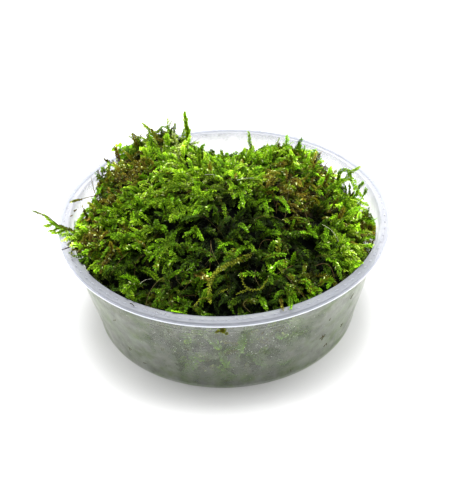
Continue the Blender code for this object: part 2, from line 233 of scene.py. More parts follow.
def polypropylene():
    """Polypropylene, injection moulded: milky, because its crystals scatter light, with a satin gloss.

    The milk attribute says how much the plastic hides, and film how much green film and damp clings to it;
    where film is near nothing, at the skirt's lip, it picks a painted glow.
    Thin plastic scatters back only part of the light, so the colours of its milk are darker than it looks.
    """
    material = new_material("translucent_polypropylene")
    tree = material.node_tree
    milk = add_node(tree, "Attribute", {"attribute_name": "milk"}, result="Fac")
    film = add_node(tree, "Attribute", {"attribute_name": "film"}, result="Fac")
    tint = add_node(tree, "ValToRGB", links={"Fac": film})
    set_ramp(tint.node, ((0.0, LIP_PAINTED_GLOW), (0.3, RIM_MILK), (1.0, WALL_MILK)))
    place = add_node(tree, "TexCoord", result="Object")
    stains = add_node(tree, "TexNoise", {"Scale": 1.0 / STAIN_SIZE, "Detail": 3.0, "Roughness": 0.6},
                      {"Vector": place})
    stained = add_node(tree, "MapRange", {"From Min": 0.42, "From Max": 0.68, "To Max": 0.7},
                       {"Value": stains})
    clinging = add_node(tree, "MapRange", {"From Min": 0.4}, {"Value": film})
    greenness = add_node(tree, "Math", {"operation": "MULTIPLY"}, {0: stained, 1: clinging})
    shade = add_node(tree, "Mix", {"data_type": "RGBA", 7: colour(GREEN_MILK)}, {0: greenness, 6: tint}, 2)
    skin = add_node(tree, "BsdfPrincipled", {"Roughness": 0.5, "IOR": PLASTIC_IOR}, {"Base Color": shade})
    glow = add_node(tree, "BsdfTranslucent", links={"Color": shade})
    depth = add_node(tree, "MapRange", {"From Max": 0.3, "To Max": 0.5}, {"Value": film})
    body = add_node(tree, "MixShader", links={"Fac": depth, 1: skin, 2: glow})
    clear = add_node(tree, "BsdfTransparent", {"Color": colour("#FAFAFC")})
    smears = add_node(tree, "TexNoise", {"Scale": 1.0 / SMEAR_SIZE, "Detail": 5.0, "Roughness": 0.65},
                      {"Vector": place})
    centred = add_node(tree, "Math", {"operation": "SUBTRACT", 1: 0.5}, {0: smears})
    on_film = add_node(tree, "Math", {"operation": "MULTIPLY"}, {0: centred, 1: film})
    swing = add_node(tree, "Math", {"operation": "MULTIPLY_ADD", 1: 1.8, 2: 1.0}, {0: on_film})
    patchy = add_node(tree, "Math", {"operation": "MULTIPLY", "use_clamp": True}, {0: milk, 1: swing})
    cloudy = add_node(tree, "MixShader", links={"Fac": patchy, 1: clear, 2: body})
    gloss = add_node(tree, "BsdfGlossy", {"Color": colour("#FFFFFF"), "Roughness": 0.3})
    slant = add_node(tree, "LayerWeight", {"Blend": 0.5}, result="Facing")
    edge = add_node(tree, "Math", {"operation": "POWER", 1: 5.0}, {0: slant})
    shine = add_node(tree, "Math", {"operation": "MULTIPLY_ADD", 1: 0.3, 2: 0.01}, {0: edge})
    surface = add_node(tree, "MixShader", links={"Fac": shine, 1: cloudy, 2: gloss})
    return finish_material(material, surface)


def plain_material(name, code, roughness, **more):
    material = new_material(name)
    settings = {"Base Color": colour(code), "Roughness": roughness, **more}
    return finish_material(material, add_node(material.node_tree, "BsdfPrincipled", settings))


# Pieces

def add_piece(name, mesh, material, replaced=()):
    piece = bpy.data.objects.new(name, mesh)
    bpy.context.scene.collection.objects.link(piece)
    mesh.materials.clear()
    mesh.materials.append(material)
    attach(piece, BODY)
    if replaced:
        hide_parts(*replaced)


def set_attributes(mesh, **values):
    """Gives each point of a mesh its own values, which the materials read."""
    for label, each in values.items():
        layer = mesh.attributes.new(label, "FLOAT", "POINT")
        layer.data.foreach_set("value", np.asarray(each, dtype=np.float32))


# The camera and the studio

def add_camera():
    back = Vector((0.0, -math.cos(CAMERA_ELEVATION), math.sin(CAMERA_ELEVATION)))
    level = Vector((1.0, 0.0, 0.0))
    upright = back.cross(level)
    right = math.cos(CAMERA_ROLL) * level - math.sin(CAMERA_ROLL) * upright
    up = math.sin(CAMERA_ROLL) * level + math.cos(CAMERA_ROLL) * upright
    data = bpy.data.cameras.new("camera")
    data.sensor_width = SENSOR
    data.sensor_fit = "AUTO"
    data.lens = FOCAL_PIXELS / FRAME_HEIGHT * SENSOR
    camera = bpy.data.objects.new("camera", data)
    turn = Matrix((right, up, back)).transposed().to_4x4()
    camera.matrix_world = Matrix.Translation(CAMERA_TARGET + CAMERA_DISTANCE * back) @ turn
    bpy.context.scene.collection.objects.link(camera)
    bpy.context.scene.camera = camera


def add_softbox(name, place, watts):
    data = bpy.data.lights.new(name, "AREA")
    data.shape = "SQUARE"
    data.size = SOFTBOX_SIZE
    data.energy = watts
    lamp = bpy.data.objects.new(name, data)
    lamp.location = place
    lamp.rotation_euler = (LIT_POINT - Vector(place)).to_track_quat("-Z", "Y").to_euler()
    bpy.context.scene.collection.objects.link(lamp)


def add_studio():
    """A floor of matt white paper in a white light tent, lit from above and behind and from both sides.

    The paper has hardly any gloss, so it shows no reflection of the tub, only its soft shadow. The lights
    from the sides reach under the rim, so that shadow stays close to the tub.
    """
    scene = bpy.context.scene
    scene.view_settings.view_transform = "Standard"
    world = bpy.data.worlds.new("light_tent")
    world.use_nodes = True
    tent = world.node_tree.nodes["Background"]
    tent.inputs["Color"].default_value = colour("#FFFFFF")
    tent.inputs["Strength"].default_value = TENT_STRENGTH
    scene.world = world
    bpy.ops.mesh.primitive_plane_add(size=FLOOR_SIZE, location=(0.0, 0.0, -FLOOR_DROP))
    floor = bpy.context.object
    floor.name = "floor"
    floor.data.materials.append(plain_material("white_paper", "#CECECE", 0.6))
    add_softbox("left_softbox", (-0.45, 0.1, 0.5), 3.1)
    add_softbox("right_softbox", (0.48, 0.1, 0.5), 4.2)
    add_softbox("top_softbox", (0.0, 0.12, 0.75), 13.0)


# The tub

def arc(centre, radius, start, end, steps):
    angles = [math.radians(start + (end - start) * step / steps) for step in range(steps + 1)]
    return [(centre[0] + radius * math.cos(angle), centre[1] + radius * math.sin(angle)) for angle in angles]


def straight(start, end, steps):
    """Points on a straight line, without its start, closer together towards both ends."""
    shares = [0.5 - 0.5 * math.cos(math.pi * step / steps) for step in range(1, steps + 1)]
    return [tuple(low + share * (high - low) for low, high in zip(start, end)) for share in shares]


def tub_profile():
    """Half section of the tub: along the floor, up the inside, over the rim and down the outside."""
    above_ledge = UNDER_LEDGE + LEDGE_SLOPE
    fillet = arc((BASE_RADIUS - WALL - FLOOR_FILLET, WALL + FLOOR_FILLET), FLOOR_FILLET, -90, 0, 6)
    inside = [(0.0, WALL)] + fillet + straight(fillet[-1], (UNDER_LEDGE, LEDGE), WALL_STEPS)
    inside.append((above_ledge, LEDGE + LEDGE_RISE))
    rim = arc((RIM_INNER_RADIUS + RIM_ROUND, HEIGHT - RIM_ROUND), RIM_ROUND, 180, 90, 4)
    rim += [
        (RIM_INNER_RADIUS + BEAD_WIDTH, HEIGHT),
        (RIM_INNER_RADIUS + BEAD_WIDTH + BEAD_SLOPE, HEIGHT - GROOVE_DEPTH),
        (RIM_RADIUS - BEAD_WIDTH - BEAD_SLOPE, HEIGHT - GROOVE_DEPTH),
        (RIM_RADIUS - BEAD_WIDTH, HEIGHT),
    ]
    rim += arc((RIM_RADIUS - RIM_ROUND, HEIGHT - RIM_ROUND), RIM_ROUND, 90, 0, 4)
    skirt_foot = HEIGHT - SKIRT_DEPTH
    skirt = [(RIM_RADIUS, skirt_foot + rise * MM) for rise in (0.6, 0.4, 0.0)]
    skirt += [(RIM_RADIUS - WALL, skirt_foot + rise * MM) for rise in (0.0, 0.4, 0.6)]
    outside = [
        (RIM_RADIUS - WALL, HEIGHT - RIM_THICKNESS),
        (RIM_INNER_RADIUS + WALL, HEIGHT - RIM_THICKNESS),
        (above_ledge + WALL, LEDGE + LEDGE_RISE - OUTER_LEDGE_DROP),
        (UNDER_LEDGE + WALL, LEDGE - OUTER_LEDGE_DROP),
    ]
    foot = [
        (BASE_RADIUS, FOOT_BEAD_HEIGHT),
        (BASE_RADIUS + FOOT_BEAD_WIDTH, 0.45 * FOOT_BEAD_HEIGHT),
        (BASE_RADIUS + 0.8 * FOOT_BEAD_WIDTH, 0.1 * FOOT_BEAD_HEIGHT),
        (BASE_RADIUS, 0.0),
        (0.0, 0.0),
    ]
    return inside + rim + skirt + outside + straight(outside[-1], foot[0], WALL_STEPS) + foot[1:]


def turned_mesh(name, profile, segments):
    """A closed mesh turned from a half section about Z."""
    line = bpy.data.meshes.new(name + "_section")
    edges = [(index, index + 1) for index in range(len(profile) - 1)]
    line.from_pydata([(radius, 0.0, height) for radius, height in profile], edges, [])
    turned = bpy.data.objects.new(name + "_section", line)
    bpy.context.scene.collection.objects.link(turned)
    screw = turned.modifiers.new("turn", "SCREW")
    screw.axis = "Z"
    screw.steps = segments
    screw.render_steps = segments
    screw.use_merge_vertices = True
    screw.merge_threshold = 0.00001
    graph = bpy.context.evaluated_depsgraph_get()
    mesh = bpy.data.meshes.new_from_object(turned.evaluated_get(graph))
    mesh.name = name
    bpy.data.objects.remove(turned)
    return mesh


def from_front(points):
    """Angles of places round the tub from its front, to either side, in degrees."""
    return np.degrees(np.abs(np.arctan2(points[:, 0], -points[:, 1])))


def painted_back_light(points, share):
    """What is left of the milk where the rim is painted lighter towards the back, by at most the share given.
    """
    return 1.0 - np.interp(from_front(points), RIM_LIGHTENS_BETWEEN, (0.0, share))


def add_tub(material):
    mesh = turned_mesh("tub_shell", tub_profile(), TUB_SEGMENTS)
    mesh.shade_smooth()
    mesh.set_sharp_from_angle(angle=SHARP_ANGLE)
    points = np.array([vertex.co for vertex in mesh.vertices])
    drop = (HEIGHT - points[:, 2]) / MM
    drops, milks, films = zip(*MILK)
    angles, painted_side_light = zip(*MILK_AROUND)
    milk = np.interp(drop, drops, milks)
    film = np.interp(drop, drops, films)
    milk += np.where(film > FILM_ON_WALL, np.interp(from_front(points), angles, painted_side_light), 0.0)
    kept = np.where(drop < RIM_TOP, painted_back_light(points, RIM_BACK_LIGHTENING), 1.0)
    set_attributes(mesh, milk=milk * kept, film=film * kept)
    add_piece("tub_shell", mesh, material, ["tub"])


def wall_radius(height):
    """Inner radius of the tub from its floor up, and above its rim how far out the moss may hang."""
    fillet_top = WALL + FLOOR_FILLET
    share = np.clip((height - fillet_top) / (LEDGE - fillet_top), 0.0, 1.0)
    wall = (BASE_RADIUS - WALL) + (UNDER_LEDGE - BASE_RADIUS + WALL) * share
    return np.where(height > HEIGHT, RIM_INNER_RADIUS + OVERHANG * (height - HEIGHT), wall)


def outer_radius(height):
    """Outer radius of the tub's wall at heights from its foot to its ledge."""
    share = (height - FOOT_BEAD_HEIGHT) / (LEDGE - OUTER_LEDGE_DROP - FOOT_BEAD_HEIGHT)
    return BASE_RADIUS + (UNDER_LEDGE + WALL - BASE_RADIUS) * np.clip(share, 0.0, 1.0)


def inside_tub(points, gap=MOSS_GAP):
    """The same points, with those in or past the wall or the floor pressed back against it."""
    limit = wall_radius(points[:, 2]) - gap
    draw = np.minimum(1.0, limit / np.maximum(np.hypot(points[:, 0], points[:, 1]), 1e-9))
    return np.stack([points[:, 0] * draw, points[:, 1] * draw, np.maximum(points[:, 2], WALL + gap)], axis=1)


# The heap's surface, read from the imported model

def read_heap():
    """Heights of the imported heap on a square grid, softened, past its edge too."""
    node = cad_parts["moss_mound"]
    points = [vertex.co for vertex in node.data.vertices]
    tree = BVHTree.FromPolygons(points, [polygon.vertices for polygon in node.data.polygons])
    half = int(RIM_RADIUS / GRID_STEP) + 6
    ticks = np.arange(-half, half + 1) * GRID_STEP
    heights = np.zeros((len(ticks), len(ticks)))
    for row, y in enumerate(ticks):
        for column, x in enumerate(ticks):
            draw = min(1.0, HEAP_REACH / max(math.hypot(x, y), 1e-9))
            hit = tree.ray_cast(Vector((x * draw, y * draw, 1.0)), Vector((0.0, 0.0, -1.0)))
            heights[row, column] = hit[0].z
    for _ in range(5):
        for axis in (0, 1):
            heights = 0.5 * heights + 0.25 * (np.roll(heights, 1, axis) + np.roll(heights, -1, axis))
    return ticks[0], heights


GRID_START, HEAP = read_heap()


def surface_height(x, y):
    """Height of the heap's surface over places given as arrays."""
    column = np.clip((x - GRID_START) / GRID_STEP, 0, HEAP.shape[1] - 1.001)
    row = np.clip((y - GRID_START) / GRID_STEP, 0, HEAP.shape[0] - 1.001)
    left, low = column.astype(int), row.astype(int)
    across, up = column - left, row - low
    near = HEAP[low, left] * (1 - across) + HEAP[low, left + 1] * across
    far = HEAP[low + 1, left] * (1 - across) + HEAP[low + 1, left + 1] * across
    return near * (1 - up) + far * up


def surface_normal(x, y):
    step = 2.0 * MM
    slope_x = (surface_height(x + step, y) - surface_height(x - step, y)) / (2.0 * step)
    slope_y = (surface_height(x, y + step) - surface_height(x, y - step)) / (2.0 * step)
    return unit(np.stack([-slope_x, -slope_y, np.ones_like(x)], axis=-1))


# How the moss differs from place to place. A patch has its centre's x and y, and its reach along x and y.
DEAD_PATCHES = (
    (-34, 15, 8, 7), (-40, 26, 6, 7), (-42, 2, 5, 7), (-42, -19, 4, 6), (21, 3, 8, 8), (33, 5, 7, 7),
    (36, 29, 6, 4), (49, -18, 3, 9),
)
OLIVE_PATCHES = ((3, -38, 9, 8), (25, -37, 8, 7), (22, -14, 7, 6), (-22, -44, 9, 4), (14, 14, 10, 7))
# Gaps between the shoots: thinned out there, and given painted shade
GAP_PATCHES = (
    (3, -15, 8, 5), (14, -20, 7, 4), (-7, -29, 5, 4), (-26, -33, 5, 3), (31, -10, 6, 4), (34, 3, 4, 4),
    (4, -49, 14, 3), (27, -26, 5, 3), (35, -34, 5, 3), (5, -41, 5, 3),
)
# Patches given painted shade only
DIM_PATCHES = ((2, -43, 12, 6), (-14, -38, 9, 6), (-22, 35, 8, 6))
# Patches given painted light, where the moss is also fresher
BRIGHT_PATCHES = (
    (-21, 31, 10, 8), (-13, 14, 12, 9), (19, 25, 14, 7), (3, 8, 10, 9), (2, 20, 12, 8), (32, 24, 11, 7),
    (43, -20, 7, 10), (-47, -10, 4, 10),
)
# Where sprays lie thick and bright, and elsewhere single shoots hang with dark gaps between them
FROND_PATCHES = (
    (-20, 8, 17, 14), (-21, 33, 11, 9), (16, 27, 15, 7), (-32, -16, 12, 9), (2, 12, 14, 12), (43, -22, 6, 6),
)
STANDING_PATCHES = (
    (-21, 34, 12, 9), (-36, 28, 8, 8), (2, 26, 10, 6), (17, 27, 12, 6), (36, 22, 11, 9), (44, -14, 8, 14),
    (-38, -22, 10, 12),
)
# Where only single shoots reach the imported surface, and the leafy mass lies lower
SUNK_DEPTH = 3.2 * MM
SUNK_PATCHES = ((-47, 14, 5, 8), (-39, 28, 5, 5), (36, 27, 8, 8))


def patch_share(x, y, patches):
    """How far places lie in any of the patches, from 0 outside to 1 at a centre."""
    share = np.zeros_like(x)
    for middle_x, middle_y, reach_x, reach_y in patches:
        away = ((x / MM - middle_x) / reach_x) ** 2 + ((y / MM - middle_y) / reach_y) ** 2
        share = np.maximum(share, np.exp(-away / 2.0))
    return share


def moss_height(x, y):
    """Height of the heap's leafy mass over places given as arrays."""
    return surface_height(x, y) - SUNK_DEPTH * patch_share(x, y, SUNK_PATCHES)


def tilted_up(x, y, rng, spread):
    normal = surface_normal(x, y)
    return unit(normal + spread * rng.normal(0.0, 1.0, normal.shape))


def ages(x, y, rng):
    """Ages of shoots by where they grow: mostly fresh, dead in patches, and here and there an old one."""
    bright = patch_share(x, y, BRIGHT_PATCHES)
    old = rng.random(len(x)) < 0.04
    middle = 0.34 - 0.15 * bright + 0.16 * patch_share(x, y, OLIVE_PATCHES)
    fresh = np.clip(rng.normal(middle, 0.08), 0.08, 0.56)
    dead = np.clip(rng.normal(0.65, 0.08, len(x)), 0.5, 0.92)
    return np.where(old | (rng.random(len(x)) < patch_share(x, y, DEAD_PATCHES)), dead, fresh)


def lights(x, y, rng):
    """Painted light and shade by where shoots grow: darker in the heap's front, and darker still in its gaps.
    """
    bright = patch_share(x, y, BRIGHT_PATCHES)
    front = np.clip((-y - 8.0 * MM) / (20.0 * MM), 0.0, 1.0) * (1.0 - bright)
    # Painted light brightens the bright patches; painted shade darkens the front, the gaps and the dim
    # patches
    base = (0.57 + 0.17 * bright) * (1.0 - 0.1 * front) * (1.0 - 0.55 * patch_share(x, y, GAP_PATCHES))
    base = base * (1.0 - 0.35 * patch_share(x, y, DIM_PATCHES))
    # On top of that each shoot's tone varies at random, little where fronds lie and much elsewhere
    calm = patch_share(x, y, FROND_PATCHES)
    chance = rng.random(len(x))
    return base * (calm * (0.56 + 0.55 * chance) + (1.0 - calm) * (0.34 + 2.0 * chance ** 2))


# Growing shoots. A soup is a heap of triangles: points, corners, and each point's age and light.

def joined(soups):
    starts = np.cumsum([0] + [len(soup["points"]) for soup in soups])
    merged = {key: np.concatenate([soup[key] for soup in soups]) for key in ("points", "age", "light")}
    merged["corners"] = np.concatenate([soup["corners"] + start for soup, start in zip(soups, starts)])
    return merged


def add_soup(name, soup, material, replaced=()):
    """A piece whose mesh is a soup."""
    mesh = bpy.data.meshes.new(name)
    points, corners = soup["points"], soup["corners"]
    mesh.vertices.add(len(points))
    mesh.vertices.foreach_set("co", points.astype(np.float32).ravel())
    mesh.loops.add(corners.size)
    mesh.loops.foreach_set("vertex_index", corners.astype(np.int32).ravel())
    mesh.polygons.add(len(corners))
    mesh.polygons.foreach_set("loop_start", np.arange(0, corners.size, 3, dtype=np.int32))
    mesh.update(calc_edges=True)
    set_attributes(mesh, age=soup["age"], light=soup["light"])
    add_piece(name, mesh, material, replaced)


def bezier(control, share):
    """Places and directions, at shares of the way, on curves of three control points each."""
    share = np.asarray(share, float).reshape(1, -1, 1)
    start, middle, end = (control[:, None, index] for index in range(3))
    place = (1 - share) ** 2 * start + 2 * (1 - share) * share * middle + share ** 2 * end
    return place, unit((1 - share) * (middle - start) + share * (end - middle))


def crossways(along, up):
    """Directions to the side and to the top of shoots, at each of their stations."""
    side = unit(np.cross(along, np.broadcast_to(up[:, None], along.shape)))
    return side, np.cross(side, along)


# A rank of leaves on a shoot: where round the stem they grow, how far they stand off, both in degrees, and
# their place in the gap between stations
FLAT_RANKS = ((-14, 58, 0.0), (194, 58, 0.5))
FULL_RANKS = FLAT_RANKS + ((50, 44, 0.25), (130, 44, 0.75))
THREE_RANKS = FLAT_RANKS + ((90, 36, 0.25),)
ONE_SIDE = ((180, 62, 0.0), (150, 50, 0.5))
CLOSE_RANKS = tuple((roll, 26, offset) for roll, spread, offset in FULL_RANKS)

# Kinds of leafy shoot: a leaf's length and relative breadth, the gap between stations, the stem's radius, and
# the ranks. The first three make up the heap, the next two lie against the wall, and the rest are loose.
Kind = namedtuple("Kind", "leaf breadth gap stem ranks")
AXIS = Kind(1.2, 0.42, 0.46, 0.13, FULL_RANKS)
SIDE = Kind(1.1, 0.44, 0.42, 0.1, THREE_RANKS)
SINGLE = Kind(1.3, 0.42, 0.42, 0.13, FULL_RANKS)
PRESSED = Kind(1.2, 0.8, 0.55, 0.3, FLAT_RANKS)
ON_WALL = Kind(1.9, 0.9, 0.7, 0.4, FLAT_RANKS)
FINE = Kind(1.0, 0.55, 0.55, 0.12, FULL_RANKS)
COMB = Kind(1.5, 0.4, 0.75, 0.16, FULL_RANKS)
HANGING = Kind(1.7, 0.45, 0.5, 0.1, ONE_SIDE)
BROAD = Kind(3.2, 0.6, 1.1, 0.1, FLAT_RANKS)
SPIRE = Kind(1.9, 0.4, 0.55, 0.2, CLOSE_RANKS)
KNOBBLY = Kind(1.15, 0.6, 0.95, 0.22, FULL_RANKS)
TWIG = Kind(0.65, 0.55, 1.0, 0.1, FULL_RANKS)
SPARSE = Kind(0.8, 0.5, 0.5, 0.16, FULL_RANKS)

# From a leaf's foot, along one edge, to its tip and back along the other: how much older and lighter it is
# painted. Both are painted light and shade: a darker, greener foot and a paler, yellower tip, where light
# comes through the leaf
PAINTED_LEAF_AGES = np.array([0.06, 0.0, -0.08, 0.0])
LEAF_LIGHTS = np.array([0.4, 0.95, 1.5, 0.95])
# Shares of the leaves given painted glints, pale and lighter as painted highlights, on living and on dead
# shoots
GLINT_SHARE = 0.013
DEAD_LEAF_GLINT_SHARE = 0.05
# How far leaves stray round the stem and off it, in degrees, how deep they are cupped for their half width,
# and how far their tips droop for their length
ROLL_STRAY = 11.0
SPREAD_STRAY = 9.0
CUPPING = 0.4
DROOP = 0.15


def grow_leaves(place, along, up, kind, size, age, light, rng):
    """Leaves on the stations of many shoots: folded diamonds that lean towards the tip."""
    shoots, stations = place.shape[:2]
    share = (np.arange(stations) / (stations - 1))[None, :, None]
    gap = np.linalg.norm(np.diff(place, axis=1), axis=2).mean(axis=1)[:, None, None]
    side, top = crossways(along, up)
    shape = (shoots, stations, 1)
    swell = np.minimum(np.minimum(1.0, 0.6 + 2.0 * share), 0.7 + 1.6 * (1.0 - share))
    first = 4 * np.arange(shoots * stations)[:, None]
    soups = []
    for rank_roll, rank_spread, offset in kind.ranks:
        roll = np.radians(rank_roll + rng.normal(0.0, ROLL_STRAY, shape))
        spread = np.radians(rank_spread * (1.1 - 0.3 * share) + rng.normal(0.0, SPREAD_STRAY, shape))
        outward = np.cos(roll) * side + np.sin(roll) * top
        blade = np.cos(spread) * along + np.sin(spread) * outward
        face = unit(top + 0.14 * rng.normal(0.0, 1.0, (shoots, stations, 3)))
        across = unit(np.cross(face, blade))
        length = kind.leaf * MM * size[:, None, None] * swell * rng.uniform(0.75, 1.2, shape)
        half = 0.5 * kind.breadth * length
        foot = place + along * gap * offset
        belly = foot + 0.5 * length * blade + CUPPING * half * face
        tip = foot + length * blade - DROOP * length * face
        # Painted light and shade: leaves are fresher towards the shoot's tip, and paler at their own tips
        leaf_age = age[:, None, None] + 0.05 - 0.1 * share + rng.normal(0.0, 0.05, shape) + PAINTED_LEAF_AGES
        # Painted highlights: a few leaves are painted as pale glints
        glint = rng.random(shape) < np.where(age < 0.5, GLINT_SHARE, DEAD_LEAF_GLINT_SHARE)[:, None, None]
        # Painted light: leaves are painted lighter towards the shoot's tip, and vary a little at random
        leaf_light = light[:, None, None] * (0.6 + 0.7 * share) * rng.uniform(0.6, 1.4, shape)
        points = np.stack([foot, belly + half * across, tip, belly - half * across], axis=2)
        soups.append({
            "points": points.reshape(-1, 3),
            "corners": np.concatenate([first + (0, 1, 2), first + (0, 2, 3)]),
            "age": np.where(glint, 0.0, leaf_age).ravel(),
            "light": (leaf_light * np.where(glint, 1.25, 1.0) * LEAF_LIGHTS).ravel(),
        })
    return joined(soups)


def grow_stems(place, along, up, radius, age, light):
    """Thin three-sided stems along the stations of many shoots, tapering to their tips."""
    shoots, stations = place.shape[:2]
    side, top = crossways(along, up)
    taper = radius[:, None, None] * (1.0 - 0.6 * np.linspace(0.0, 1.0, stations))[None, :, None]
    angles = [FULL_TURN * corner / 3.0 for corner in range(3)]
    rings = [place + taper * (math.cos(angle) * side + math.sin(angle) * top) for angle in angles]
    first = 3 * (stations * np.arange(shoots)[:, None] + np.arange(stations - 1)[None]).reshape(-1, 1)
    corners = []
    for corner in range(3):
        after = (corner + 1) % 3
        corners += [first + (corner, after, after + 3), first + (corner, after + 3, corner + 3)]
    return {
        "points": np.stack(rings, axis=2).reshape(-1, 3),
        "corners": np.concatenate(corners),
        "age": np.repeat(age, 3 * stations),
        "light": np.repeat(light, 3 * stations),
    }


def grow_shoots(control, up, kind, size, age, light, rng, bare=0.06):
    """Leafy shoots along curves: leaves from a bare foot to the tip, on a stem."""
    reach = np.linalg.norm(control[:, 2] - control[:, 0], axis=1).mean()
    stations = max(4, int(round((1.0 - bare) * reach / (kind.gap * MM))))
    place, along = bezier(control, np.linspace(bare, 0.99, stations))
    leaves = grow_leaves(place, along, up, kind, size, age, light, rng)
    place, along = bezier(control, np.linspace(0.0, 1.0, max(4, stations // 4)))
    return joined([leaves, grow_stems(place, along, up, kind.stem * MM * size, age + 0.25, 0.6 * light)])


def creeping_curves(x, y, heading, length, root_depth, lift):
    """Curves over the heap's surface: from a root under it, along it, to a tip that stands off it."""
    forward = around(1.0, heading, 0.0)
    normal = surface_normal(x, y)
    rise = -(normal[:, 0] * forward[:, 0] + normal[:, 1] * forward[:, 1]) / normal[:, 2]
    run = length / np.sqrt(1.0 + rise ** 2)
    arch = 1.5 * MM
    places = []
    for share, above in ((0.0, -root_depth), (0.45, lift + arch), (1.0, lift)):
        spot_x = x + share * run * forward[:, 0]
        spot_y = y + share * run * forward[:, 1]
        places.append(np.stack([spot_x, spot_y, moss_height(spot_x, spot_y) + above], axis=1))
    return np.stack(places, axis=1)


def side_curves(control, up, length, share, sign, rng):
    """Curves of the side shoots that leave the main stems at one share of the way, on one side."""
    start, along = bezier(control, [share])
    side, top = crossways(along, up)
    start, along, side, top = (values[:, 0] for values in (start, along, side, top))
    count = len(control)
    lean = np.radians(rng.normal(52.0, 9.0, count))[:, None]
    raised = rng.normal(0.12, 0.22, count)[:, None]
    course = unit(np.cos(lean) * along + sign * np.sin(lean) * side + raised * top)
    bend = 0.3 * along + rng.normal(0.0, 0.18, count)[:, None] * top
    reach = (length * rng.uniform(0.75, 1.2, count))[:, None]
    return np.stack([start, start + 0.5 * reach * course, start + reach * unit(course + bend)], axis=1)


def scattered(count, rng, reach=HEAP_REACH):
    """Places spread evenly over a disc, shaken a little."""
    golden = math.pi * (3.0 - math.sqrt(5.0))
    index = np.arange(count)
    radius = reach * np.sqrt((index + rng.uniform(0.2, 0.8, count)) / count)
    angle = index * golden + rng.uniform(0.0, FULL_TURN) + rng.normal(0.0, 0.05, count)
    return radius * np.cos(angle), radius * np.sin(angle)


# The layers of the heap, from the deepest to the one that stands out of it: how many shoots, how deep they
# root, how far their tips stand off the surface, their length, their painted shade (deeper layers darker),
# the shares kept where fronds lie and elsewhere, and how much the gaps thin them out
Layer = namedtuple("Layer", "count depth lift length shade in_fronds elsewhere thinned")
SPRAY_LAYERS = (
    Layer(240, 7.5, (-6.4, -4.8), (10, 15), 0.8, 1.0, 0.8, 0.0),
    Layer(320, 5.4, (-4.4, -2.7), (9, 14), 1.0, 1.0, 0.2, 0.6),
    Layer(320, 4.0, (-2.6, -0.4), (8, 13), 1.15, 1.0, 0.08, 0.9),
)
SINGLE_LAYERS = (
    Layer(700, 5.5, (-5.1, -3.1), (5, 9), 0.9, 0.4, 1.0, 0.3),
    Layer(560, 3.5, (-2.8, -0.8), (4, 9), 1.25, 0.4, 1.0, 0.9),
    Layer(340, 2.4, (-0.9, 1.0), (4, 9), 1.3, 0.9, 1.0, 0.9),
)
SIDE_SHARES = np.linspace(0.18, 0.84, 6)


def layer_places(layer, wander, rng):
    """Where the shoots of a layer grow, where they head and how long they are."""
    x, y = scattered(layer.count, rng)
    fronds = patch_share(x, y, FROND_PATCHES)
    wanted = layer.in_fronds * fronds + layer.elsewhere * (1.0 - fronds)
    kept = rng.random(len(x)) < wanted * (1.0 - layer.thinned * patch_share(x, y, GAP_PATCHES))
    x, y = x[kept], y[kept]
    heading = np.arctan2(y, x) + rng.normal(0.0, wander, len(x))
    return x, y, heading, rng.uniform(*layer.length, len(x)) * MM


def grow_sprays(layer, rng):
    """One layer of sprays: leafy main stems with side shoots on alternate sides, all in one plane."""
    x, y, heading, length = layer_places(layer, 1.1, rng)
    lift = rng.uniform(*layer.lift, len(x)) * MM
    back = 0.35 * length
    control = creeping_curves(x - back * np.cos(heading), y - back * np.sin(heading), heading, length,
                              layer.depth * MM, lift)
    up = tilted_up(x, y, rng, 0.25)
    age = ages(x, y, rng)
    light = layer.shade * lights(x, y, rng)
    size = rng.uniform(0.85, 1.1, len(x))
    soups = [grow_shoots(control, up, AXIS, size, age, light, rng)]
    for index, share in enumerate(SIDE_SHARES):
        sign = 1.0 if index % 2 else -1.0
        side = side_curves(control, up, length * (0.46 - 0.26 * share), share, sign, rng)
        soups.append(grow_shoots(side, up, SIDE, size, age - 0.04, light, rng, bare=0.1))
    return joined(soups)


def grow_singles(layer, rng):
    """One layer of single shoots."""
    x, y, heading, length = layer_places(layer, 1.2, rng)
    lift = rng.uniform(*layer.lift, len(x)) * MM
    control = creeping_curves(x, y, heading, length, layer.depth * MM, lift)
    up = tilted_up(x, y, rng, 0.4)
    size = rng.uniform(0.7, 1.15, len(x))
    light = layer.shade * lights(x, y, rng)
    return grow_shoots(control, up, SINGLE, size, ages(x, y, rng), light, rng)


def grow_standing(rng, count=640):
    """Single shoots that stand up out of the heap, mostly along its back, where they feather its outline."""
    x, y = scattered(count, rng, HEAP_REACH - 3.0 * MM)
    kept = rng.random(count) < 0.12 + 0.88 * patch_share(x, y, STANDING_PATCHES)
    x, y = x[kept], y[kept]
    count = len(x)
    forward = around(1.0, np.arctan2(y, x) + rng.normal(0.0, 1.0, count), 0.0)
    lean = np.radians(rng.uniform(8.0, 65.0, count))[:, None]
    length = rng.uniform(4.5, 8.5, count)[:, None] * MM
    start = np.stack([x, y, surface_height(x, y) - 4.0 * MM], axis=1)
    middle = start + 0.5 * length * unit(np.sin(0.6 * lean) * forward + np.cos(0.6 * lean) * UPRIGHT)
    end = start + length * (np.sin(lean) * forward + np.cos(lean) * UPRIGHT)
    up = unit(np.sin(lean) * UPRIGHT - np.cos(lean) * forward + 0.3 * rng.normal(0.0, 1.0, start.shape))
    size = rng.uniform(0.7, 1.05, count)
    # Painted light: shoots that stand out of the heap are painted lighter
    light = 1.2 * lights(x, y, rng)
    return grow_shoots(np.stack([start, middle, end], axis=1), up, SINGLE, size, ages(x, y, rng), light, rng)


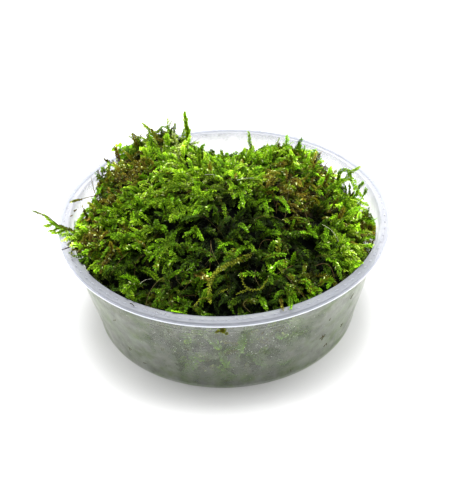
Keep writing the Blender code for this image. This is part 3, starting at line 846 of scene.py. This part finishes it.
def grow_edge(rng, count=300):
    """Single shoots along the heap's edge that lean on the wall of the tub."""
    turn = rng.uniform(0.0, FULL_TURN, count)
    radius = HEAP_REACH - rng.uniform(1.5, 7.0, count) * MM
    x, y = radius * np.cos(turn), radius * np.sin(turn)
    kept = rng.random(count) > patch_share(x, y, GAP_PATCHES)
    x, y, turn = x[kept], y[kept], turn[kept]
    count = len(x)
    heading = turn + rng.normal(0.0, 0.9, count)
    length = rng.uniform(4.0, 8.0, count) * MM
    control = creeping_curves(x, y, heading, length, 3.0 * MM, rng.uniform(-2.2, 0.6, count) * MM)
    size = rng.uniform(0.7, 1.1, count)
    light = 1.1 * lights(x, y, rng)
    return grow_shoots(control, tilted_up(x, y, rng, 0.4), SINGLE, size, ages(x, y, rng), light, rng)


# The moss against the wall: the share of it that lies along the foot, the heights of the middles of shoots
# there and elsewhere, and the heights that their ends keep to
FOOT_SHARE = 0.25
FOOT_HEIGHTS = (1.4 * MM, 5.0 * MM)
WALL_HEIGHTS = (2.0 * MM, HEIGHT - 8.0 * MM)
END_HEIGHTS = (1.2 * MM, HEIGHT - 5.0 * MM)


def grow_wall_moss(rng, count=1100):
    """Shoots pressed against the inside of the tub's wall, which show through it."""
    angle = rng.uniform(0.0, FULL_TURN, count)
    along_foot = rng.random(count) < FOOT_SHARE
    height = np.where(along_foot, rng.uniform(*FOOT_HEIGHTS, count), rng.uniform(*WALL_HEIGHTS, count))
    course = rng.uniform(0.0, FULL_TURN, count)
    length = rng.uniform(4.0, 8.0, count) * MM
    inset = rng.uniform(0.4, 4.5, count) * MM
    places = []
    for share in (-0.5, 0.0, 0.5):
        spot_height = np.clip(height + share * length * np.sin(course), *END_HEIGHTS)
        radius = wall_radius(spot_height) - inset
        places.append(around(radius, angle + share * length * np.cos(course) / radius, spot_height))
    up = unit(around(1.0, angle, 0.3 * rng.normal(0.0, 1.0, count)))
    age = np.where(rng.random(count) < 0.3, 0.66, 0.3) + rng.normal(0.0, 0.08, count)
    light = rng.uniform(0.35, 1.25, count)
    return grow_shoots(np.stack(places, axis=1), up, PRESSED, rng.uniform(0.85, 1.15, count), age, light, rng)


# Broad shoots behind the wall, from root to tip: the angle round the tub in degrees, and the height
WALL_SHOOTS = (
    ((-98.5, 28.5), (-96, 26), (-93.5, 22)), ((-84.7, 29), (-85, 25), (-85.8, 20)),
    ((-110.5, 3.5), (-107, 7.5), (-103.5, 12)), ((-106.5, 16.5), (-104, 16), (-100.5, 14.5)),
    ((-93, 19.5), (-92, 15), (-91, 11)), ((-80, 14), (-77.5, 11), (-75, 8.5)),
    ((-71.5, 10.5), (-67, 7), (-62.5, 8)), ((-57.5, 6.5), (-55, 7.5), (-52, 9.5)),
    ((-72.5, 26), (-70.5, 24), (-68.5, 23)), ((-128.5, 23), (-130, 18), (-131, 12)),
    ((-96, 4), (-92, 6), (-88, 4.5)),
)


def wall_knot(radius, angle, height):
    """A place round the tub as a knot of a path."""
    return (around(radius, angle, height) - (0.0, 0.0, HEIGHT)) / MM


def grow_wall_shoots(rng):
    """Broad shoots pressed flat against the inside of the wall, where they show best through it."""
    soups = []
    for places in WALL_SHOOTS:
        path = [wall_knot(wall_radius(height * MM) - 0.4 * MM, math.radians(angle), height * MM)
                for angle, height in places]
        soups.append(grow_part((ON_WALL, 0.34, 1.1, *path), rng))
    return joined(soups)


def shade_depths(soup, start=1.0 * MM, fade=1.6 * MM):
    """Darkens a soup the deeper its points lie under the heap's surface."""
    points = soup["points"]
    depth = moss_height(points[:, 0], points[:, 1]) - points[:, 2] - start
    soup["light"] = soup["light"] * np.exp(-np.clip(depth, 0.0, None) / fade)


def add_moss(material):
    """The leafy heap in six sectors, from its left round by its front, and the moss against the wall."""
    rng = np.random.default_rng(SEED)
    soups = [grow_sprays(layer, rng) for layer in SPRAY_LAYERS]
    soups += [grow_singles(layer, rng) for layer in SINGLE_LAYERS]
    soups += [grow_standing(rng), grow_edge(rng)]
    soup = joined(soups)
    shade_depths(soup)
    soup["points"] = inside_tub(soup["points"])
    middle = soup["points"][soup["corners"][:, 0]]
    turn = np.arctan2(middle[:, 1], middle[:, 0])
    sector = FULL_TURN / len(SECTORS)
    for index, name in enumerate(SECTORS):
        low = -math.pi + index * sector
        chosen = soup["corners"][(turn >= low) & (turn < low + sector)]
        used, corners = np.unique(chosen, return_inverse=True)
        part = {key: soup[key][used] for key in ("points", "age", "light")}
        part["corners"] = corners.reshape(-1, 3)
        add_soup(name, part, material, ["moss_mound"])
    wall = joined([grow_wall_moss(rng), grow_wall_shoots(rng)])
    wall["points"] = inside_tub(wall["points"])
    add_soup("moss_against_wall", wall, material, ["moss_mound"])


CORE_DEPTH = 6.0 * MM
CORE_INSET = 2.8 * MM
CORE_BOTTOM = 1.5 * MM
CORE_LUMPS = 0.35 * MM
CORE_RINGS = 26
CORE_SEGMENTS = 120


def add_core():
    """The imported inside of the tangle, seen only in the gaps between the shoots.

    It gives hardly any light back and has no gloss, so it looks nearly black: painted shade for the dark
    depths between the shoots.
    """
    rng = np.random.default_rng(SEED + 1)
    turns = np.arange(CORE_SEGMENTS) * FULL_TURN / CORE_SEGMENTS
    rows = []
    for ring in range(1, CORE_RINGS + 1):
        row = around(ring / CORE_RINGS * (HEAP_REACH - CORE_INSET), turns, 0.0)
        lumps = rng.normal(0.0, CORE_LUMPS, CORE_SEGMENTS)
        row[:, 2] = moss_height(row[:, 0], row[:, 1]) - CORE_DEPTH + lumps
        rows.append(inside_tub(row, CORE_INSET))
    edge = rows[-1][:, 2]
    for share in (0.75, 0.5, 0.25, 0.0):
        height = CORE_BOTTOM + share * (edge - CORE_BOTTOM)
        rows.append(around(wall_radius(height) - (0.4 + 0.6 * share) * CORE_INSET, turns, height))
    top = np.array([[0.0, 0.0, rows[0][:, 2].mean()]])
    points = np.concatenate([top] + rows + [[[0.0, 0.0, CORE_BOTTOM]]])
    starts = 1 + CORE_SEGMENTS * np.arange(len(rows))
    faces = []
    for segment in range(CORE_SEGMENTS):
        after = (segment + 1) % CORE_SEGMENTS
        faces.append((0, 1 + segment, 1 + after))
        for near, far in zip(starts, starts[1:]):
            faces.append((near + segment, far + segment, far + after, near + after))
        faces.append((starts[-1] + segment, len(points) - 1, starts[-1] + after))
    mesh = bpy.data.meshes.new("inner_tangle")
    mesh.from_pydata(points.tolist(), [], faces)
    mesh.shade_smooth()
    core_shade = plain_material("painted_shade_core", "#060706", 1.0, **{"Specular IOR Level": 0.0})
    add_piece("inner_tangle", mesh, core_shade, ["moss_mound"])


# Shoots and stems that stand clear of the heap. A part has its kind or, where it is a bare stem, its radius,
# how old and how light it is, and its path from root to tip: knots of x, y and height above the rim.
OPEN_SIDE = (0.0, -0.6, 0.8)
STEM_STEP = 0.9 * MM
LOOSE_SHOOTS = {
    "left_rim_shoot": ("green_moss", (
        (0.28, 0.72, 0.6, (-48.5, -10, -3), (-50.9, -9, 0), (-54.1, -8, 1.5), (-57.3, -6.5, 2.1),
         (-61.8, -4, 4.9), (-66.5, -3, 6.5)),
        (HANGING, 0.24, 0.7, (-54.0, -8.4, 1.2), (-57.3, -6.5, 2.1), (-61.8, -4, 4.9)),
        (FINE, 0.2, 0.75, (-55.2, -7.6, 1.7), (-57.4, -8.2, 0.6), (-59.6, -8.3, 0.5)),
        (FINE, 0.24, 0.7, (-57.3, -6.5, 2.1), (-59.2, -7.2, 0.9), (-60.9, -7.4, 0.8)),
        (FINE, 0.2, 0.75, (-59.2, -5.4, 3.2), (-60.9, -6, 2.2), (-62.5, -6.1, 2.2)),
        (FINE, 0.6, 0.45, (-50.0, -9, -0.6), (-54.1, -8, 1.6), (-57, -6.6, 2.2)),
        (FINE._replace(leaf=0.7), 0.5, 0.6, (-61, -4.4, 4.5), (-66.5, -3, 6.5)),
        (COMB, 0.22, 0.7, (-50.9, -10, 0.8), (-53.1, -9.8, 1.0), (-56.2, -9.8, 0.6)),
        (COMB, 0.22, 0.7, (-50.6, -11, 0.2), (-52.6, -11.4, 0.6), (-54.6, -12, 0.4)),
    )),
    "left_arc_shoot": ("olive_moss", (
        (FINE, 0.2, 0.95, (-44.5, 4, 3.5), (-47.3, 2, 3.4), (-50, 1, 1.2), (-51.9, -2.5, -0.6),
         (-50.1, -5, -1.5)),
    )),
    "left_upright_strand": ("olive_moss", (
        (0.2, 0.62, 1.0, (-46.5, 14.5, -1), (-47.2, 15, 3.5), (-47.5, 15, 7.8)),
    )),
    "left_dark_strand": ("dead_moss", (
        (0.2, 0.85, 0.7, (-45, 11, 2.5), (-49.9, 12, 0.8), (-51.8, 11, 0.6), (-54.5, 9, 1.5)),
        (SPIRE._replace(leaf=1.2), 0.62, 0.7, (-51.0, 11.5, 0.7), (-51.8, 11, 0.8), (-54.5, 9, 1.5)),
    )),
    "left_back_leaf": ("green_moss", (
        (BROAD, 0.3, 0.85, (-34.5, 29, 6), (-36.4, 30, 8.6), (-38.6, 31, 9.6)),
        (BROAD, 0.32, 0.75, (-35.2, 29, 6.4), (-34.2, 29.5, 8.6), (-33, 29.5, 9.2)),
    )),
    "back_left_spike": ("green_moss", (
        (SPIRE, 0.2, 0.85, (-12.5, 33, 8), (-12.6, 34, 14.4), (-13, 34, 21.3)),
        (COMB, 0.22, 0.85, (-12.5, 33, 8), (-12.2, 33.5, 12), (-12.3, 34, 16)),
    )),
    "back_spike": ("green_moss", (
        (FINE, 0.22, 0.9, (11, 27, 4), (10.8, 28, 8.4), (10.2, 28, 15.8)),
    )),
    "right_arch_shoot": ("green_moss", (
        (COMB, 0.26, 0.8, (36, 14, -3), (42, 16, 0), (46.5, 17, 1.7), (48.5, 13, -0.5), (50.2, 11, -2.8)),
        (FINE, 0.34, 0.75, (42.0, 16.5, 0.2), (42.9, 17.5, 4.2), (45.4, 17.5, 4.8), (46.8, 17.2, 2.4)),
        (FINE, 0.2, 0.9, (45.2, 17.5, 2.4), (47.4, 17.5, 4.2), (49.8, 17.5, 5.9)),
        (FINE, 0.38, 0.7, (48.6, 13, -0.4), (50.0, 13.4, 0.7), (50.8, 13.6, 1.6)),
        (FINE, 0.26, 0.85, (50.4, 11.4, -2.8), (51.4, 12.2, -2.4), (51.9, 12.4, -0.2)),
    )),
    "right_side_shoot": ("green_moss", (
        (COMB, 0.2, 0.85, (40, 6, -1), (45.5, 7, -0.5), (51.3, 6, -2.5)),
        (COMB, 0.16, 0.9, (43, 6, -1), (47, 5, -2.2), (51.2, 4.2, -4.2)),
        (COMB, 0.24, 0.8, (42, 5, -1.6), (46, 3.4, -3), (50, 2.6, -5)),
        (FINE, 0.3, 0.8, (46, 7, -0.6), (47.6, 7.6, 0.6), (48.4, 8, 2)),
    )),
    "front_yellow_shoot": ("olive_moss", (
        (KNOBBLY, 0.2, 0.42, (10.3, -30, 6), (6.3, -35.2, 7.6), (1.8, -38, 7.6), (-2.8, -41, 6.9),
         (-5.3, -45, 4.8), (-5.3, -49.5, 2)),
        (TWIG, 0.16, 0.5, (-5, -48.4, 2.4), (-2.6, -46.8, 2.8), (-0.4, -45.4, 2.6)),
        (TWIG, 0.16, 0.5, (-5.3, -49.3, 2.0), (-7.6, -48.6, 2.4), (-9.8, -50.2, 1.4)),
        (TWIG, 0.2, 0.45, (5, -39.3, 5.0), (5.7, -43.1, 3.0), (7.8, -45.2, 2.4), (10.9, -45, 2.3),
         (13, -42.6, 3.4)),
        (TWIG, 0.2, 0.45, (7.8, -45.2, 2.4), (5.8, -45.7, 2.4), (4, -46.3, 2.0)),
    )),
    "front_rim_shoot_left": ("olive_moss", (
        (SPARSE, 0.6, 0.55, (17.4, -46, -2), (17.3, -50, 1.4), (17.6, -54.4, 1.3)),
    )),
    "front_rim_shoot_right": ("green_moss", (
        (FINE, 0.36, 0.55, (21, -45.5, -2.5), (20.4, -50, 2), (20.2, -54, 1.6)),
    )),
}
YELLOW_SHOOTS = ("front_yellow_shoot", "front_rim_shoot_left", "left_upright_strand")

# Bare stems and roots that only the looks have: radius, age and path, and pale hairs: radius and path
STRAY_LIGHT = 0.8
STRAY_STEMS = (
    (0.34, 0.9, (-40.7, 22, 3.7), (-42.9, 22, 3.9), (-44.5, 22, 3.0), (-45.3, 22, 1.7)),
    (0.08, 0.9, (-17.1, 34, 13.6), (-15, 34, 17), (-14.1, 34, 20.1)),
    (0.5, 0.95, (-18.8, 33, 14), (-18.3, 33, 15.6), (-17.2, 33, 16.4)),
    (0.07, 0.7, (-12.5, 30, 10), (-10.9, 30, 11.2), (-7.1, 30, 13.6)),
    (0.12, 0.8, (3.2, 26, 5), (2.2, 26, 6.6), (0.1, 26, 9.3), (-1.3, 26, 11.6)),
    (0.34, 0.92, (33.4, 25, 1.6), (34.8, 26, 4.6), (35.4, 26, 6.2), (36.3, 26, 6.7)),
    (0.24, 0.62, (36.4, 24, -0.6), (37.2, 24, 1.2), (38.9, 24, 4.6)),
    (0.26, 0.78, (38, 22, -0.6), (39.5, 22, -0.3), (41.6, 20.5, -0.9), (43.9, 18.6, 0.2)),
    (0.12, 0.6, (38.4, 20, -5.4), (40, 20, -4.9), (43.3, 20, -2.8), (46.7, 19, -0.3)),
    (0.17, 0.88, (42.4, 16, -1.2), (44.8, 16, -3.7), (46.3, 16, -6.9)),
    (0.24, 0.7, (48.8, 0, -7.6), (49.2, 0, -4.1), (51, 0, -3.3), (52.3, 0, -5.1), (52.0, 0, -7.6)),
    (0.42, 0.95, (-48, -15.5, 1.2), (-50.9, -16.6, 1.7), (-53.5, -17.6, 1.0), (-56, -18.4, 0.6)),
    (0.2, 0.6, (-32.5, 30, 6.5), (-31.7, 30, 9), (-31.6, 30, 11.2), (-33.4, 30, 12.6)),
    (0.26, 0.95, (-31.0, -47.8, 0.6), (-30.1, -48.2, 0.5), (-29.6, -49.4, 0.4)),
)
PALE_HAIRS = (
    (0.06, (-28.1, -40.1, 2.2), (-27.1, -39.2, 2.5), (-25.8, -38.8, 2.9), (-24.2, -38.6, 2.9)),
    (0.06, (-6, 0, 17), (-3.5, -1.5, 18), (-0.5, -2.6, 17.6)),
    (0.08, (5, -4, 17), (8, -4, 17.6), (11, -2.5, 16.6)),
    (0.05, (-12.9, -37.6, 4.9), (-11.9, -39.8, 7.4), (-10.8, -40, 8.3)),
    (0.06, (33, -20, 8.6), (36, -23, 8.0), (38, -27, 6.2)),
)


def smooth_path(knots, gap):
    """Places a gap apart along a smooth curve through the knots of a path, and its directions there."""
    knots = np.array(knots, float) * MM + (0.0, 0.0, HEIGHT)
    knots = np.concatenate([[2.0 * knots[0] - knots[1]], knots, [2.0 * knots[-1] - knots[-2]]])
    share = np.linspace(0.0, 1.0, 12, endpoint=False)[:, None]
    pieces = []
    for before, start, end, after in zip(knots, knots[1:], knots[2:], knots[3:]):
        pieces.append(0.5 * (2.0 * start + (end - before) * share
                             + (2.0 * before - 5.0 * start + 4.0 * end - after) * share ** 2
                             + (3.0 * start - before - 3.0 * end + after) * share ** 3))
    curve = np.concatenate(pieces + [knots[-2:-1]])
    run = np.concatenate([[0.0], np.cumsum(np.linalg.norm(np.diff(curve, axis=0), axis=1))])
    stops = np.linspace(0.0, run[-1], max(3, int(round(run[-1] / gap)) + 1))
    place = np.stack([np.interp(stops, run, curve[:, axis]) for axis in range(3)], axis=1)
    return place[None], unit(np.gradient(place, axis=0))[None]


def grow_part(part, rng):
    """A leafy shoot or a bare stem along its own path."""
    kind, age, light, *path = part
    leafy = isinstance(kind, Kind)
    radius = kind.stem if leafy else kind
    up = unit(np.array([OPEN_SIDE]))
    age, light = np.array([age]), np.array([light])
    place, along = smooth_path(path, STEM_STEP)
    stem_age = age + 0.15 if leafy else age
    soups = [grow_stems(place, along, up, np.array([radius * MM]), stem_age, light)]
    if leafy:
        place, along = smooth_path(path, kind.gap * MM)
        soups.append(grow_leaves(place, along, up, kind, np.ones(1), age, light, rng))
    return joined(soups)


def add_loose_shoots(green, yellowed):
    rng = np.random.default_rng(SEED + 2)
    for name, (slot, parts) in LOOSE_SHOOTS.items():
        soup = joined([grow_part(part, rng) for part in parts])
        add_soup(name + "_leaves", soup, yellowed if name in YELLOW_SHOOTS else green, [name])


def grow_stray_stems(rng, count=110):
    """Thin brown stems that arch out of the heap's front and right and go back into it."""
    x, y = scattered(count, rng, HEAP_REACH - 4.0 * MM)
    kept = rng.random(count) > patch_share(x, y, FROND_PATCHES)
    x, y = x[kept], y[kept]
    count = len(x)
    heading = rng.uniform(0.0, FULL_TURN, count)
    length = rng.uniform(6.0, 15.0, count) * MM
    control = creeping_curves(x, y, heading, length, 1.5 * MM, rng.uniform(0.4, 1.8, count) * MM)
    sideways = np.cross(UPRIGHT, around(1.0, heading, 0.0)) + 0.2 * UPRIGHT
    control[:, 1] += sideways * rng.uniform(-6.0, 6.0, (count, 1)) * MM
    place, along = bezier(control, np.linspace(0.0, 1.0, 9))
    age = rng.choice([0.3, 0.5, 0.65, 0.85], count)
    radius = rng.uniform(0.05, 0.1, count) * MM
    return grow_stems(place, along, surface_normal(x, y), radius, age, rng.uniform(0.4, 0.9, count))


def add_stray_stems(material):
    rng = np.random.default_rng(SEED + 3)
    soups = [grow_part((radius, age, STRAY_LIGHT, *path), rng) for radius, age, *path in STRAY_STEMS]
    add_soup("stray_stems", joined(soups + [grow_stray_stems(rng)]), material)
    hairs = [grow_part((radius, 0.0, 1.3, *path), rng) for radius, *path in PALE_HAIRS]
    add_soup("pale_hairs", joined(hairs), material)


# Crumbs of moss on the tub: the angle round it in degrees, the height, how many flecks and how long they are
WALL_FLECKS = (
    (-51.0, 14.4, 5, 1.9), (-45.0, 8.0, 2, 1.5), (-114.3, 18.2, 2, 2.2), (-106.0, 20.7, 1, 2.0),
    (-136.4, 23.0, 2, 1.6), (-135.0, 9.0, 2, 2.4), (-128.0, 4.0, 1, 2.0), (-49.0, 22.3, 1, 1.6),
    (-64.3, 3.3, 1, 1.6), (-38.0, 12.0, 2, 2.2), (-36.0, 26.0, 1, 2.6), (-77.1, 29.0, 1, 1.2),
    (20.0, 18.0, 2, 2.0), (75.0, 12.0, 2, 1.8), (130.0, 22.0, 2, 2.0), (175.0, 14.0, 2, 2.2),
)
RIM_FLECKS = (
    (0.42, 0.9, STRAY_LIGHT, (-53.6, 4.6, 0.4), (-52.6, 5.4, 0.5)),
    (0.26, 0.85, STRAY_LIGHT, (-54.6, 1.4, 0.4), (-53.7, 2.4, 0.4)),
    (0.24, 0.7, STRAY_LIGHT, (-50.5, 5.0, 1.6), (-50.4, 6.2, 2.0)),
)
CRUMB_AT = (-1.6, -55.8, -5.6)


def grow_fleck(angle, height, long, rng):
    """A dark fleck stuck on the wall, leaning at random."""
    angle = math.radians(angle + rng.normal(0.0, 1.0))
    height = (height + rng.normal(0.0, 0.6)) * MM
    lean = rng.uniform(0.0, math.pi)
    half = 0.5 * long * MM * rng.uniform(0.7, 1.2)
    knots = []
    for side in (-1.0, 0.0, 1.0):
        spot = height + side * half * math.sin(lean)
        knots.append(wall_knot(outer_radius(spot), angle + side * half * math.cos(lean) / BASE_RADIUS, spot))
    return grow_part((0.2, 0.9, STRAY_LIGHT, *knots), rng)


def add_crumbs(green, yellowed):
    """Dark flecks stuck on the wall and the rim, and the mossy crumb under the rim at the front."""
    rng = np.random.default_rng(SEED + 4)
    flecks = [grow_fleck(angle, height, long, rng)
              for angle, height, count, long in WALL_FLECKS for _ in range(count)]
    flecks += [grow_part(fleck, rng) for fleck in RIM_FLECKS]
    add_soup("wall_flecks", joined(flecks), green)
    leaves = []
    for _ in range(12):
        turn = rng.uniform(0.0, FULL_TURN)
        reach = rng.uniform(0.6, 1.5)
        root = np.array(CRUMB_AT) + (rng.normal(0.0, 0.5), 0.0, rng.normal(0.0, 0.3))
        tip = root + (reach * math.cos(turn), -rng.uniform(0.1, 0.6), 0.6 * reach * math.sin(turn))
        leaves.append(grow_part((FINE._replace(leaf=0.8), rng.uniform(0.2, 0.6), 0.7, root, tip), rng))
    add_soup("crumb_under_rim", joined(leaves), yellowed)


def bead_mesh(name, places, along, normal, lengths, breadths, heights):
    """Small eight-faced beads, one at each place, of the sizes given in their own three directions."""
    across = np.cross(normal, along)
    arms = [along * lengths[:, None], across * breadths[:, None], -along * lengths[:, None],
            -across * breadths[:, None], normal * heights[:, None], -normal * heights[:, None]]
    points = np.stack([places + 0.5 * arm for arm in arms], axis=1).reshape(-1, 3)
    faces = np.array([(0, 1, 4), (1, 2, 4), (2, 3, 4), (3, 0, 4), (1, 0, 5), (2, 1, 5), (3, 2, 5), (0, 3, 5)])
    corners = (6 * np.arange(len(places))[:, None, None] + faces).reshape(-1, 3)
    mesh = bpy.data.meshes.new(name)
    mesh.from_pydata(points.tolist(), [], corners.tolist(), shade_flat=False)
    return mesh


def add_rim_nubs(material):
    """A ring of small moulded nubs in the rim's groove."""
    outward = around(1.0, np.arange(NUB_COUNT) * FULL_TURN / NUB_COUNT, 0.0)
    places = 0.5 * (RIM_RADIUS + RIM_INNER_RADIUS) * outward + (0.0, 0.0, HEIGHT - GROOVE_DEPTH)
    up = np.broadcast_to(UPRIGHT, places.shape)
    sizes = [np.full(NUB_COUNT, size) for size in (NUB_LENGTH, NUB_BREADTH, NUB_HEIGHT)]
    mesh = bead_mesh("rim_nubs", places, np.cross(up, outward), up, *sizes)
    # Painted highlights: the nubs are a little paler than the rim and fade towards the back, as light dashes
    # in front
    kept = np.repeat(painted_back_light(places, NUBS_BACK_LIGHTENING), len(mesh.vertices) // NUB_COUNT)
    set_attributes(mesh, milk=NUB_MILK * kept, film=NUB_FILM * kept)
    add_piece("rim_nubs", mesh, material)


def add_water_beads(count=420):
    """Fine water beads and scuff marks on the wall, thickest in front.

    Water in beads this small shows no picture of what lies behind it, only a pale glossy speck, so they are
    painted pale: a painted highlight.
    """
    rng = np.random.default_rng(SEED + 5)
    front = rng.random(count) < 0.6
    angle = np.radians(np.where(front, rng.normal(-88.0, 18.0, count), rng.uniform(-180.0, 180.0, count)))
    height = np.where(front, rng.normal(22.0, 5.0, count), rng.uniform(4.0, 34.0, count))
    height = np.clip(height, 3.0, 35.0) * MM
    outward = around(1.0, angle, 0.0)
    lean = rng.uniform(0.0, math.pi, count)[:, None]
    along = np.cos(lean) * np.cross(UPRIGHT, outward) + np.sin(lean) * UPRIGHT
    size = rng.uniform(0.12, 0.2, count) * MM
    long = size * np.where(rng.random(count) < 0.15, 3.5, 1.2)
    places = around(outer_radius(height), angle, height)
    mesh = bead_mesh("water_beads", places, along, outward, long, size, 0.6 * size)
    water = plain_material("painted_glint_and_scuff", "#F4F6F0", 0.2, IOR=WATER_IOR)
    add_piece("water_beads", mesh, water)


def main():
    add_camera()
    add_studio()
    plastic = polypropylene()
    moss = moss_material("moss_leaf", FRESH_TO_DEAD)
    yellowed = moss_material("yellowed_moss_leaf", YELLOWED)
    add_tub(plastic)
    add_core()
    add_moss(moss)
    add_loose_shoots(moss, yellowed)
    add_stray_stems(moss_material("dead_moss_stem", STEMS))
    add_crumbs(moss, yellowed)
    add_rim_nubs(plastic)
    add_water_beads()


main()
